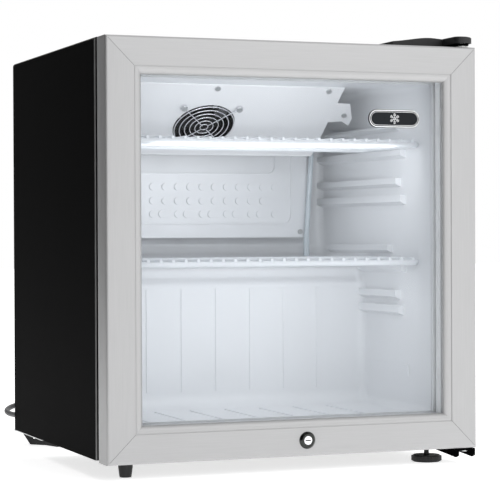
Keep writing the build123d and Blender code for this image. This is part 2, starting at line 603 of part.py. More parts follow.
with BuildPart() as lock_cam:
    with BuildSketch(wall(CAM_FRONT)):
        with Locations((LOCK_X + 4.25, LOCK_Z)):
            SlotOverall(17.5, 9)
        with Locations((LOCK_X, LOCK_Z)):
            Rectangle(6, 6, mode=Mode.SUBTRACT)
    extrude(amount=-2)
    with BuildSketch(wall(CAM_FRONT + 2)):
        with Locations((LOCK_X, LOCK_Z)):
            RegularPolygon(4.4, 6)
    extrude(amount=-2.4)
save(lock_cam, "lock_cam")

# ---------------------------------------------------------------- top hinge
ARM_Z0, ARM_Z1 = DOOR_TOP + 2.6, CAB_TOP + 3.2
COVER_X0, COVER_Y1 = 139.5, CAB_FRONT + 42.0
TOP_SCREWS, BOTTOM_SCREWS = (162, 186, 210), (176, 213)
with BuildPart() as top_hinge_bracket:
    box(150, 222, CAB_FRONT + 3, CAB_FRONT + 36, CAB_TOP, ARM_Z1)
    box(207, 221, HINGE_Y, CAB_FRONT + 4, ARM_Z0, ARM_Z1)
    with Locations((HINGE_X, HINGE_Y, (ARM_Z0 + ARM_Z1) / 2)):
        Cylinder(7.5, ARM_Z1 - ARM_Z0)
    bar((HINGE_X, HINGE_Y, ARM_Z0 - 3), (HINGE_X, HINGE_Y, ARM_Z1 + 3), PIN_R, Mode.SUBTRACT)
    for x in TOP_SCREWS:
        bar((x, CAB_FRONT + 20, CAB_TOP - 3), (x, CAB_FRONT + 20, ARM_Z1 + 3), 2.5, Mode.SUBTRACT)
save(top_hinge_bracket, "top_hinge_bracket")


def cover_body(inset, floor_z):
    """Hinge cover's volume: a gently crowned top over a plate area and a round-ended arm."""
    left, back_y, reach = COVER_X0 + inset, COVER_Y1 - inset, 10.8 - inset
    crown = [(COVER_X0, 495.2), (COVER_X0 + 20, 497.6), (188, 500.4), (205, 499.2), (216, 498.6), (226, 497.0)]
    with BuildPart() as body:
        with BuildSketch(wall(HINGE_Y - 20)):
            with BuildLine():
                top = Spline([(x, z - inset) for x, z in crown])
                Polyline(top @ 0, (COVER_X0, floor_z), (226, floor_z), top @ 1)
            make_face()
        extrude(amount=-120)
        with BuildSketch(Plane.XY.offset(floor_z)):
            with BuildLine():
                Polyline((left, back_y), (left, CAB_FRONT + 1 + inset), (HINGE_X - reach, CAB_FRONT + 1 + inset),
                         (HINGE_X - reach, HINGE_Y))
                ThreePointArc((HINGE_X - reach, HINGE_Y), (HINGE_X, HINGE_Y - reach), (HINGE_X + reach, HINGE_Y))
                Polyline((HINGE_X + reach, HINGE_Y), (HINGE_X + reach, back_y), (left, back_y))
            make_face()
        extrude(amount=40, mode=Mode.INTERSECT)
    return body


with BuildPart() as top_hinge_cover:
    add(cover_body(0, CAB_TOP).part)
    add(cover_body(1.6, CAB_TOP - 1).part, mode=Mode.SUBTRACT)
    box(200, 230, HINGE_Y - 20, CAB_FRONT, CAB_TOP - 2, ARM_Z1 + 0.2, Mode.SUBTRACT)
save(top_hinge_cover, "top_hinge_cover")

# ---------------------------------------------------------------- bottom hinge
PLATE_Z0, PLATE_Z1 = FLOOR_GAP - 3.2, FLOOR_GAP - 1.0
STUD_X, STUD_Y = HALF_W - 38.0, CAB_FRONT + 13.0
with BuildPart() as bottom_hinge_bracket:
    box(202, HALF_W, HINGE_Y - 9, CAB_FRONT + 40, PLATE_Z0, PLATE_Z1)
    box(168, HALF_W, CAB_FRONT + 3, CAB_FRONT + 40, PLATE_Z0, CAB_BOTTOM)
    for x in (202, HALF_W - 2):
        with BuildSketch(Plane.YZ.offset(x)):
            with BuildLine():
                Polyline((HINGE_Y - 9, PLATE_Z0), (HINGE_Y - 9, 11), (HINGE_Y - 3, 8.5), (CAB_FRONT + 20, 12.5),
                         (CAB_FRONT + 40, PLATE_Z0), close=True)
            make_face()
        extrude(amount=2)
    bar((HINGE_X, HINGE_Y, PLATE_Z0 - 3), (HINGE_X, HINGE_Y, PLATE_Z1 + 3), PIN_R, Mode.SUBTRACT)
    bar((STUD_X, STUD_Y, PLATE_Z0 - 3), (STUD_X, STUD_Y, CAB_BOTTOM + 3), 3.6, Mode.SUBTRACT)
    for x in BOTTOM_SCREWS:
        bar((x, CAB_FRONT + 30, PLATE_Z0 - 3), (x, CAB_FRONT + 30, CAB_BOTTOM + 3), 2.5, Mode.SUBTRACT)
save(bottom_hinge_bracket, "bottom_hinge_bracket")

with BuildPart() as hinge_pins:
    bar((HINGE_X, HINGE_Y, DOOR_TOP - 11), (HINGE_X, HINGE_Y, ARM_Z1), PIN_R)
    bar((HINGE_X, HINGE_Y, ARM_Z1), (HINGE_X, HINGE_Y, ARM_Z1 + 1.6), 5)
    bar((HINGE_X, HINGE_Y, PLATE_Z0), (HINGE_X, HINGE_Y, FLOOR_GAP + 11), PIN_R)
    bar((HINGE_X, HINGE_Y, PLATE_Z0 - 1.6), (HINGE_X, HINGE_Y, PLATE_Z0), 5)
save(hinge_pins, "hinge_pins")

with BuildPart() as hinge_screws:
    for x in TOP_SCREWS:
        bar((x, CAB_FRONT + 20, CAB_TOP), (x, CAB_FRONT + 20, ARM_Z1), 2.5)
        bar((x, CAB_FRONT + 20, ARM_Z1), (x, CAB_FRONT + 20, ARM_Z1 + 2), 4.2)
    for x in BOTTOM_SCREWS:
        bar((x, CAB_FRONT + 30, PLATE_Z0), (x, CAB_FRONT + 30, CAB_BOTTOM), 2.5)
        bar((x, CAB_FRONT + 30, PLATE_Z0 - 2), (x, CAB_FRONT + 30, PLATE_Z0), 4.2)
save(hinge_screws, "hinge_screws")

# ---------------------------------------------------------------- feet
with BuildPart() as front_left_foot:
    with BuildSketch(Plane.XY) as sole:
        with Locations((-STUD_X, STUD_Y)):
            Circle(6.7)
    with BuildSketch(Plane.XY.offset(11.6)) as neck:
        with Locations((-STUD_X, STUD_Y)):
            Circle(8.2)
    loft()
    bar((-STUD_X, STUD_Y, 11.6), (-STUD_X, STUD_Y, CAB_BOTTOM), 8.2)
    bar((-STUD_X, STUD_Y, CAB_BOTTOM), (-STUD_X, STUD_Y, CAB_BOTTOM + 14), 3.4)
save(front_left_foot, "front_left_foot")

with BuildPart() as leveling_nut:
    with BuildSketch(Plane.XY.offset(CAB_BOTTOM + SHEET)):
        with Locations((STUD_X, STUD_Y)):
            Circle(5.0)
            Circle(3.0 + PIN_FIT, mode=Mode.SUBTRACT)
    extrude(amount=8)
save(leveling_nut, "leveling_nut")

with BuildPart() as leveling_foot:
    with BuildSketch(Plane.XY.offset(1.2)):
        with Locations((STUD_X, STUD_Y)):
            Circle(18)
            with PolarLocations(18.4, 36):
                Circle(0.9, mode=Mode.SUBTRACT)
    extrude(amount=5.6)
    for z, height, radius in ((0, 1.2, 16.0), (6.8, 1.2, 15.5)):
        bar((STUD_X, STUD_Y, z), (STUD_X, STUD_Y, z + height), radius)
    bar((STUD_X, STUD_Y, 8), (STUD_X, STUD_Y, CAB_BOTTOM + 15), 3.0)
save(leveling_foot, "leveling_foot")

BASE_T = 1.5
BASE_REAR = DOOR_FRONT + 424.0
BASE_TOP = CAB_BOTTOM
GROMMETS = [(COMP_X + sx * 70, COMP_Y + sy * 40) for sx in (-1, 1) for sy in (-1, 1)]
with BuildPart() as base_plate:
    box(-HALF_W + 1, HALF_W - 1, BAY_FRONT + 2, CAB_BACK, BASE_TOP - BASE_T, BASE_TOP)
    box(-214, 214, CAB_BACK - 1, BASE_REAR, BASE_TOP - BASE_T, BASE_TOP)
    for side in (-1, 1):
        with Locations((side * 220.5, CAB_BACK + 3.5, BASE_TOP - BASE_T / 2)):
            Cylinder(4.4, BASE_T)
            Cylinder(2.0, 3 * BASE_T, mode=Mode.SUBTRACT)
save(base_plate, "base_plate")

with BuildPart() as rear_feet:
    for side in (-1, 1):
        with BuildSketch(wall(DOOR_FRONT + 372)):
            with BuildLine():
                Polyline([(side * x, z) for x, z in ((150, 20), (163, 0), (201, 0), (214, 20))], close=True)
            make_face()
            with Locations((side * 193, 9)):
                Rectangle(10, 3.4, mode=Mode.SUBTRACT)
        extrude(amount=-44)
        with BuildSketch(Plane.XY):
            with BuildLine():
                Polyline((side * 216, DOOR_FRONT + 371), (side * 216, DOOR_FRONT + 413),
                         (side * 201, DOOR_FRONT + 413), (side * 186, DOOR_FRONT + 398),
                         (side * 177, DOOR_FRONT + 371), close=True)
            make_face()
        extrude(amount=21, mode=Mode.SUBTRACT)
save(rear_feet, "rear_feet")

# ---------------------------------------------------------------- compressor and refrigerant circuit
COMP_A, COMP_B = 73.0, 56.0
POT_Z0, SEAM_Z, POT_Z1 = 38.0, 92.0, 150.0
with BuildPart() as compressor:
    for z, height, rim in ((POT_Z0, SEAM_Z - POT_Z0, 0), (SEAM_Z, POT_Z1 - SEAM_Z, 1)):
        with BuildSketch(Plane.XY.offset(z)):
            with Locations((COMP_X, COMP_Y)):
                Ellipse(COMP_A, COMP_B)
        extrude(amount=height)
    fillet(compressor.faces().sort_by(Axis.Z)[-1].edges(), 26)
    fillet(compressor.faces().sort_by(Axis.Z)[0].edges(), 16)
    with BuildSketch(Plane.XY.offset(SEAM_Z - 2)):
        with Locations((COMP_X, COMP_Y)):
            Ellipse(COMP_A + 2, COMP_B + 2)
    extrude(amount=4)
    with BuildSketch(Plane.XY.offset(32)):
        with Locations((COMP_X, COMP_Y)):
            RectangleRounded(166, 104, 12)
        with Locations(*GROMMETS):
            Circle(7, mode=Mode.SUBTRACT)
    extrude(amount=3)
    with BuildSketch(Plane.XY.offset(34)):
        with Locations((COMP_X, COMP_Y)):
            Ellipse(40, 30)
    extrude(amount=10)
save(compressor, "compressor")

with BuildPart() as compressor_grommets:
    for x, y in GROMMETS:
        bar((x, y, BASE_TOP), (x, y, 32), 11)
        bar((x, y, 32), (x, y, 35), 7)
        bar((x, y, 35), (x, y, 38.5), 9.5)
        bar((x, y, BASE_TOP - 1), (x, y, 40), 4, Mode.SUBTRACT)
save(compressor_grommets, "compressor_grommets")

with BuildPart() as compressor_bolts:
    for x, y in GROMMETS:
        bar((x, y, BASE_TOP), (x, y, 38.5), 4)
        bar((x, y, 38.5), (x, y, 42), 6.5)
save(compressor_bolts, "compressor_bolts")

RELAY_X0, RELAY_X1 = COMP_X - COMP_A - 27, COMP_X - COMP_A + 6
with BuildPart() as relay_cover:
    box(RELAY_X0, RELAY_X1, COMP_Y - 24, COMP_Y + 24, 64, 124)
    fillet(relay_cover.edges().filter_by(Axis.X), 6)
    fillet(relay_cover.faces().sort_by(Axis.X)[0].edges(), 3)
    add(compressor.part, mode=Mode.SUBTRACT)
save(relay_cover, "relay_cover")

PAN_Z0, PAN_Z1 = POT_Z1 + 2.0, POT_Z1 + 18.0
with BuildPart() as drip_pan:
    box(COMP_X - 64, COMP_X + 104, COMP_Y - 44, COMP_Y + 44, PAN_Z0, PAN_Z1)
    fillet(drip_pan.edges().filter_by(Axis.Z), 10)
    box(COMP_X - 62, COMP_X + 102, COMP_Y - 42, COMP_Y + 42, PAN_Z0 + 2, PAN_Z1 + 1, Mode.SUBTRACT)
    for x in (COMP_X - 30, COMP_X + 30):
        bar((x, COMP_Y, POT_Z1), (x, COMP_Y, PAN_Z0), 6)
save(drip_pan, "drip_pan")

TUBE_R, COND_WIRE_R = 2.4, 0.8
COND_HALF, COND_BEND, COND_LOW, COND_RUNS = 150.0, 18.0, FLOOR_GAP + 206.0, 7
COND_HIGH = COND_LOW + 2 * COND_BEND * (COND_RUNS - 1)
with BuildPart() as condenser_coil:
    with BuildLine() as serpentine:
        for run in range(COND_RUNS):
            z, side = COND_LOW + 2 * COND_BEND * run, 1 if run % 2 == 0 else -1
            Line((-side * COND_HALF, CONDENSER_Y, z), (side * COND_HALF, CONDENSER_Y, z))
            if run < COND_RUNS - 1:
                ThreePointArc((side * COND_HALF, CONDENSER_Y, z),
                              (side * (COND_HALF + COND_BEND), CONDENSER_Y, z + COND_BEND),
                              (side * COND_HALF, CONDENSER_Y, z + 2 * COND_BEND))
    with BuildSketch(Plane(origin=(-COND_HALF, CONDENSER_Y, COND_LOW), z_dir=(1, 0, 0))):
        Circle(TUBE_R)
    sweep(path=serpentine.wire())
    for index in range(15):
        x = (index - 7) * 20.0
        for side in (-1, 1):
            y = CONDENSER_Y + side * (TUBE_R + COND_WIRE_R - 0.3)
            bar((x, y, COND_LOW - 8), (x, y, COND_HIGH + 8), COND_WIRE_R)
save(condenser_coil, "condenser_coil")

BRACKETS = [(x, z) for x in (-130.0, 130.0) for z in (COND_LOW + 2 * COND_BEND, COND_HIGH - 2 * COND_BEND)]
with BuildPart() as condenser_brackets:
    for x, z in BRACKETS:
        box(x - 7, x + 7, CAB_BACK, CONDENSER_Y - TUBE_R - 2 * COND_WIRE_R, z - 3, z + 3)
        box(x - 7, x + 7, CAB_BACK, CAB_BACK + 1.5, z - 3, z + 18)
        bar((x, CAB_BACK - 1, z + 12), (x, CAB_BACK + 9, z + 12), 2, Mode.SUBTRACT)
        box(x - 4, x + 4, CONDENSER_Y - 8, CONDENSER_Y - TUBE_R, z - 3, z + 3)
save(condenser_brackets, "condenser_brackets")

with BuildPart() as self_tapping_screws:
    for x, y in COVER_SCREWS:
        with Locations(Plane(origin=cover_plane.from_local_coords((x, y, 0)), z_dir=cover_face)):
            Cylinder(3.5, 1.8, align=(Align.CENTER, Align.CENTER, Align.MIN))
            Cylinder(2.0, 3.5, align=(Align.CENTER, Align.CENTER, Align.MAX))
    for x, z in EVAP_SCREWS:
        bar((x, EVAP_Y - 2, z), (x, EVAP_Y, z), 3.2)
        bar((x, EVAP_Y - 1, z), (x, UPPER_BACK - 3, z), 2)
    for x, z in BRACKETS:
        bar((x, CAB_BACK, z + 12), (x, CAB_BACK + 1.5, z + 12), 2)
        bar((x, CAB_BACK + 1.5, z + 12), (x, CAB_BACK + 3.5, z + 12), 3.6)
save(self_tapping_screws, "self_tapping_screws")

with BuildPart() as wall_spacers:
    for x in (-188.0, 188.0):
        with BuildSketch(wall(CAB_BACK)):
            with Locations((x, FLOOR_GAP + 442)):
                Circle(12)
        extrude(amount=-(REAR - CAB_BACK), taper=3)
save(wall_spacers, "wall_spacers")

PIPE_R = 2.4
DRIER_X, DRIER_Y, SHELL_PIPE_Z = -70.0, 150.0, 118.0
drier_pipe = tube([(DRIER_X, DRIER_Y, 178), (DRIER_X, DRIER_Y, 192), (DRIER_X - 3, 176, 196),
                   (DRIER_X - 18, CONDENSER_Y, 203), (DRIER_X - 62, CONDENSER_Y - 2, 208),
                   (-176, CONDENSER_Y - 1, 208), (-186, CONDENSER_Y, 222), (-166, CONDENSER_Y, COND_LOW),
                   (-COND_HALF, CONDENSER_Y, COND_LOW)], PIPE_R)
pipe_x = COMP_X + COMP_A + 36
discharge_pipe = tube([(COMP_X + COMP_A - 4, COMP_Y + 8, SHELL_PIPE_Z),
                       (COMP_X + COMP_A + 14, COMP_Y + 12, SHELL_PIPE_Z), (pipe_x - 2, COMP_Y + 40, 130),
                       (pipe_x, 178, 150), (pipe_x, CONDENSER_Y, 190), (pipe_x + 8, CONDENSER_Y, 270),
                       (pipe_x + 12, CONDENSER_Y, 400), (188, CONDENSER_Y, COND_HIGH - 30),
                       (176, CONDENSER_Y, COND_HIGH), (COND_HALF, CONDENSER_Y, COND_HIGH)], PIPE_R)
with BuildPart() as refrigerant_pipes:
    bar((DRIER_X, DRIER_Y, 100), (DRIER_X, DRIER_Y, 170), 9)
    fillet(refrigerant_pipes.edges().filter_by(GeomType.CIRCLE), 5)
    bar((DRIER_X, DRIER_Y, 92), (DRIER_X, DRIER_Y, 101), PIPE_R)
    bar((DRIER_X, DRIER_Y, 169), (DRIER_X, DRIER_Y, 178), PIPE_R)
    add(drier_pipe.part)
    add(discharge_pipe.part)
    add(compressor.part, mode=Mode.SUBTRACT)
save(refrigerant_pipes, "refrigerant_pipes")

# ---------------------------------------------------------------- thermostat
DIAL_X, DIAL_Z, DIAL_FRONT = -178.0, 174.0, CAB_BACK - 3.0
with BuildPart() as thermostat_housing:
    box(DIAL_X - 27, DIAL_X + 27, DIAL_FRONT - 44, DIAL_FRONT, DIAL_Z - 24, BAY_TOP - SHEET)
    fillet(thermostat_housing.edges().filter_by(Axis.Y), 4)
    bar((DIAL_X, DIAL_FRONT - 12, DIAL_Z), (DIAL_X, DIAL_FRONT + 1, DIAL_Z), PIN_R + PIN_FIT, Mode.SUBTRACT)
save(thermostat_housing, "thermostat_housing")

with BuildPart() as thermostat_dial:
    bar((DIAL_X, DIAL_FRONT + 0.6, DIAL_Z), (DIAL_X, DIAL_FRONT + 3.6, DIAL_Z), 16)
    bar((DIAL_X, DIAL_FRONT + 3.6, DIAL_Z), (DIAL_X, DIAL_FRONT + 15, DIAL_Z), 12)
    with BuildSketch(wall(DIAL_FRONT + 5)):
        with Locations((DIAL_X, DIAL_Z)):
            with PolarLocations(12.2, 18):
                Circle(1.2)
    extrude(amount=-10, mode=Mode.SUBTRACT)
    box(DIAL_X - 0.8, DIAL_X + 0.8, DIAL_FRONT + 14, DIAL_FRONT + 16, DIAL_Z + 2, DIAL_Z + 11, Mode.SUBTRACT)
    bar((DIAL_X, DIAL_FRONT - 10, DIAL_Z), (DIAL_X, DIAL_FRONT + 1, DIAL_Z), PIN_R)
save(thermostat_dial, "thermostat_dial")

# ---------------------------------------------------------------- mains lead, put away in the bay
LEAD_Y, LEAD_Z, RELIEF_L = COMP_Y, 80.0, 32.0
with BuildPart() as cord_strain_relief:
    with BuildSketch(Plane.YZ.offset(RELAY_X0)):
        with Locations((LEAD_Y, LEAD_Z)):
            Circle(6.5)
    with BuildSketch(Plane.YZ.offset(RELAY_X0 - RELIEF_L)):
        with Locations((LEAD_Y, LEAD_Z)):
            Circle(4.4)
    loft()
save(cord_strain_relief, "cord_strain_relief")

LEAD_ROUTE = [(RELAY_X0 - RELIEF_L, LEAD_Y, LEAD_Z), (-86, LEAD_Y, LEAD_Z), (-103, 100, 75),
              (-117, 103, 65), (-128, 111, 55), (-140, 121, 47.5)]
mains_cord = tube(LEAD_ROUTE, CORD_R)
save(mains_cord, "mains_cord")

# hank: a long loop of turns lying on the base plate, its outer fold past the rear left corner
HANK_TURN = -38.0
HANK_RUN, HANK_END_R, HANK_H = 112.0, 31.6, 30.0
LOOSE_REACH, LOOSE_Z = 14.0, 22.5     # the top turn is loose and reaches past the others
FOLD_X, FOLD_Y = -205.6, 200.0
hank_axis = Vector(cos(radians(HANK_TURN)), sin(radians(HANK_TURN)), 0)
hank_plane = Plane(origin=Vector(FOLD_X, FOLD_Y, BASE_TOP) + hank_axis * (HANK_RUN / 2), x_dir=hank_axis,
                   z_dir=(0, 0, 1))
TIE_W, TIE_T = 6.0, 1.4
with BuildPart() as cord_hank:
    with BuildSketch(hank_plane):
        with Locations((LOOSE_REACH / 2, 0)):
            SlotCenterToCenter(HANK_RUN - LOOSE_REACH, 2 * HANK_END_R)
    extrude(amount=HANK_H)
    with BuildSketch(hank_plane.offset(LOOSE_Z)):
        SlotCenterToCenter(HANK_RUN, 2 * HANK_END_R)
    extrude(amount=HANK_H - LOOSE_Z)
    fillet(cord_hank.faces().sort_by(Axis.Z)[-1].edges(), 3)
    fillet(cord_hank.faces().sort_by(Axis.Z)[0].edges(), 3)
    with BuildSketch(Plane(origin=hank_plane.from_local_coords((-TIE_W / 2, 0, 0)), x_dir=hank_plane.y_dir,
                           z_dir=hank_plane.x_dir)):
        with Locations((0, HANK_H / 2)):
            Rectangle(3 * HANK_END_R, 2 * HANK_H)
            RectangleRounded(2 * HANK_END_R - 2 * TIE_T, HANK_H - 2 * TIE_T, 8, mode=Mode.SUBTRACT)
    extrude(amount=TIE_W, mode=Mode.SUBTRACT)
save(cord_hank, "cord_hank")

with BuildPart() as cord_tie:
    with BuildSketch(Plane(origin=hank_plane.from_local_coords((-TIE_W / 2, 0, 0)), x_dir=hank_plane.y_dir,
                           z_dir=hank_plane.x_dir)):
        with Locations((0, HANK_H / 2)):
            RectangleRounded(2 * HANK_END_R - 0.2, HANK_H - 0.2, 9)
            RectangleRounded(2 * HANK_END_R - 2 * TIE_T, HANK_H - 2 * TIE_T, 8, mode=Mode.SUBTRACT)
    extrude(amount=TIE_W)
save(cord_tie, "cord_tie")

PLUG_HALF_H, PLUG_SIDE = 13.0, 26.9
plug_start = hank_plane.from_local_coords((HANK_RUN / 2 + 20.0, PLUG_SIDE, PLUG_HALF_H))
plug_plane = Plane(origin=plug_start, x_dir=hank_plane.y_dir, z_dir=hank_plane.x_dir)
with BuildPart() as mains_plug:
    with BuildSketch(plug_plane):
        Circle(4.2)
    with BuildSketch(plug_plane.offset(26)):
        Circle(6.5)
    loft()
    with BuildSketch(plug_plane.offset(26)):
        RectangleRounded(22, 20, 7)
    with BuildSketch(plug_plane.offset(48)):
        RectangleRounded(30, 2 * PLUG_HALF_H, 8)
    loft()
    with BuildSketch(plug_plane.offset(48)):
        RectangleRounded(30, 2 * PLUG_HALF_H, 8)
    extrude(amount=5)
    with BuildSketch(plug_plane.offset(53)):
        with Locations((-6.35, 3), (6.35, 3)):
            Rectangle(1.5, 6.4)
        with Locations((0, -6.5)):
            Circle(2.4)
    extrude(amount=16)
save(mains_plug, "mains_plug")

# ---------------------------------------------------------------- figures for the cord
route_length = sum((Vector(b) - Vector(a)).length for a, b in zip(LEAD_ROUTE, LEAD_ROUTE[1:]))
swept_length = mains_cord.part.volume / (3.14159265 * CORD_R**2)
print("cord radii", [round(r, 1) for r in bend_radii(LEAD_ROUTE)])
print("cord runs", round(route_length, 1), "tube volume / section", round(swept_length, 1))
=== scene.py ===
"""Looks of the glass-door mini fridge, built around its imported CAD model. Metres, in the row frame."""
import json
from math import cos, pi, radians, sin

import bmesh
import bpy
from mathutils import Matrix, Vector


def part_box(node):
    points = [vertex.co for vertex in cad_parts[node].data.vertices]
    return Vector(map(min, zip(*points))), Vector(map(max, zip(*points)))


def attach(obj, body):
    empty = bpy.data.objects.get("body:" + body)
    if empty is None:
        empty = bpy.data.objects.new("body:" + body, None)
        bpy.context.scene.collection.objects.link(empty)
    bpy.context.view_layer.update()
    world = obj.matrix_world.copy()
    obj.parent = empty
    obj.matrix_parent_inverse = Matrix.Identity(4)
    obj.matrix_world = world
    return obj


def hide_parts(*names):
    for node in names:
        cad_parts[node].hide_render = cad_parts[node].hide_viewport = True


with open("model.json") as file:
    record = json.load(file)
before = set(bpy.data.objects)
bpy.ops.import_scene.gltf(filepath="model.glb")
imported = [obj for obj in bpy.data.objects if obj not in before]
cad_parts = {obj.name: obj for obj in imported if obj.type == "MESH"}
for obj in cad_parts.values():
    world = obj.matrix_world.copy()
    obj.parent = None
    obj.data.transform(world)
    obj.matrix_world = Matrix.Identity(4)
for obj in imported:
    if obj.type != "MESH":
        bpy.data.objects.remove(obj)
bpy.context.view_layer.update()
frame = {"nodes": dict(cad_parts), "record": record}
nodes = frame["nodes"]
scene = bpy.context.scene


# ------------------------------------------------------------ camera, at the photograph's angle
CAMERA_PLACE = (-0.8239, -2.1823, 0.2715)
CAMERA_YAW, CAMERA_PITCH, CAMERA_ROLL = 21.43, -0.519, -0.236     # degrees
CAMERA_LENS, CAMERA_SENSOR, CAMERA_FAR = 135.8, 36.0, 50          # mm, mm, m


def look(yaw, pitch, roll):
    """Camera axes for a view turned by yaw from +Y towards +X."""
    ahead = Vector((sin(yaw) * cos(pitch), cos(yaw) * cos(pitch), sin(pitch)))
    level = Vector((cos(yaw), -sin(yaw), 0))
    above = level.cross(ahead)
    right = level * cos(roll) + above * sin(roll)
    up = above * cos(roll) - level * sin(roll)
    return Matrix((right, up, -ahead)).transposed()


camera_data = bpy.data.cameras.new("camera")
camera_data.lens, camera_data.sensor_width = CAMERA_LENS, CAMERA_SENSOR
camera_data.clip_end = CAMERA_FAR
camera = bpy.data.objects.new("camera", camera_data)
camera_axes = look(radians(CAMERA_YAW), radians(CAMERA_PITCH), radians(CAMERA_ROLL))
camera.matrix_world = Matrix.Translation(CAMERA_PLACE) @ camera_axes.to_4x4()
scene.collection.objects.link(camera)
scene.camera = camera


# ------------------------------------------------------------ helpers for pieces
def add_piece(name, data, body, material, replaced=()):
    """An object that rides on a body, takes a finish and stands for some CAD nodes."""
    piece = bpy.data.objects.new(name, data)
    scene.collection.objects.link(piece)
    data.materials.clear()
    data.materials.append(material)
    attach(piece, body)
    if replaced:
        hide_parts(*replaced)
    return piece


def mesh_of(name, bm, smooth=True, angle=32):
    mesh = bpy.data.meshes.new(name)
    bm.normal_update()
    bm.to_mesh(mesh)
    bm.free()
    if smooth:
        mesh.shade_smooth()
        mesh.set_sharp_from_angle(angle=radians(angle))
    return mesh


def curve_of(name, points, radius, cyclic=False, order=3, sides=3):
    """NURBS tube through a row of control points."""
    curve = bpy.data.curves.new(name, "CURVE")
    curve.dimensions = "3D"
    curve.bevel_depth, curve.bevel_resolution, curve.use_fill_caps = radius, sides, not cyclic
    curve.resolution_u = 6
    spline = curve.splines.new("NURBS")
    spline.points.add(len(points) - 1)
    for point, co in zip(spline.points, points):
        point.co = (*co, 1)
    spline.use_cyclic_u = cyclic
    spline.order_u = order
    spline.use_endpoint_u = not cyclic
    return curve


def add_bar(bm, ring, levels):
    """Closed bar between two copies of a ring of four points, at two values of y."""
    rows = [[bm.verts.new((p.x, y, p.z)) for p in ring] for y in levels]
    bm.faces.new(rows[0])
    bm.faces.new(rows[1][::-1])
    for i in range(4):
        bm.faces.new((rows[0][i], rows[1][i], rows[1][(i + 1) % 4], rows[0][(i + 1) % 4]))


# ------------------------------------------------------------ procedural materials
def material(name, color, rough, metal=0.0, spec=0.5, grain=(1, 1, 1), scale=90.0, tint=0.05, bump=0.05,
             bump_scale=None, depth=0.0003, rough_var=0.06, coat=0.0):
    """Principled material with a stretched noise for colour, roughness and relief."""
    mat = bpy.data.materials.new(name)
    mat.use_nodes = True
    nt = mat.node_tree
    shader = nt.nodes["Principled BSDF"]
    shader.inputs["Metallic"].default_value = metal
    shader.inputs["Specular IOR Level"].default_value = spec
    shader.inputs["Coat Weight"].default_value = coat
    shader.inputs["Coat Roughness"].default_value = 0.12
    place = nt.nodes.new("ShaderNodeTexCoord")
    stretch = nt.nodes.new("ShaderNodeMapping")
    stretch.inputs["Scale"].default_value = grain
    nt.links.new(place.outputs["Object"], stretch.inputs["Vector"])

    def noise(size, detail=4.0):
        node = nt.nodes.new("ShaderNodeTexNoise")
        node.inputs["Scale"].default_value = size
        node.inputs["Detail"].default_value = detail
        nt.links.new(stretch.outputs["Vector"], node.inputs["Vector"])
        return node

    broad, fine = noise(scale), noise(bump_scale or scale * 6, 2.0)
    ramp = nt.nodes.new("ShaderNodeValToRGB")
    ramp.color_ramp.elements[0].position, ramp.color_ramp.elements[1].position = 0.3, 0.7
    for element, factor in zip(ramp.color_ramp.elements, (1 - tint, 1 + tint)):
        element.color = (*[min(c * factor, 1.0) for c in color], 1)
    nt.links.new(broad.outputs["Fac"], ramp.inputs["Fac"])
    nt.links.new(ramp.outputs["Color"], shader.inputs["Base Color"])
    spread = nt.nodes.new("ShaderNodeMapRange")
    spread.inputs["To Min"].default_value = max(rough - rough_var, 0.02)
    spread.inputs["To Max"].default_value = min(rough + rough_var, 1.0)
    nt.links.new(fine.outputs["Fac"], spread.inputs["Value"])
    nt.links.new(spread.outputs["Result"], shader.inputs["Roughness"])
    if bump:
        relief = nt.nodes.new("ShaderNodeBump")
        relief.inputs["Strength"].default_value = bump
        relief.inputs["Distance"].default_value = depth
        nt.links.new(fine.outputs["Fac"], relief.inputs["Height"])
        nt.links.new(relief.outputs["Normal"], shader.inputs["Normal"])
    return mat


def clear_glass(name, tint, mirror):
    """Thin window glass: light passes straight, and the faces mirror by Fresnel."""
    mat = bpy.data.materials.new(name)
    mat.use_nodes = True
    nt = mat.node_tree
    nt.nodes.remove(nt.nodes["Principled BSDF"])
    through = nt.nodes.new("ShaderNodeBsdfTransparent")
    through.inputs["Color"].default_value = (*tint, 1)
    gloss = nt.nodes.new("ShaderNodeBsdfGlossy")
    gloss.inputs["Roughness"].default_value = 0.02
    facing = nt.nodes.new("ShaderNodeFresnel")
    facing.inputs["IOR"].default_value = mirror
    mix = nt.nodes.new("ShaderNodeMixShader")
    nt.links.new(facing.outputs["Fac"], mix.inputs["Fac"])
    nt.links.new(through.outputs["BSDF"], mix.inputs[1])
    nt.links.new(gloss.outputs["BSDF"], mix.inputs[2])
    nt.links.new(mix.outputs["Shader"], nt.nodes["Material Output"].inputs["Surface"])
    return mat


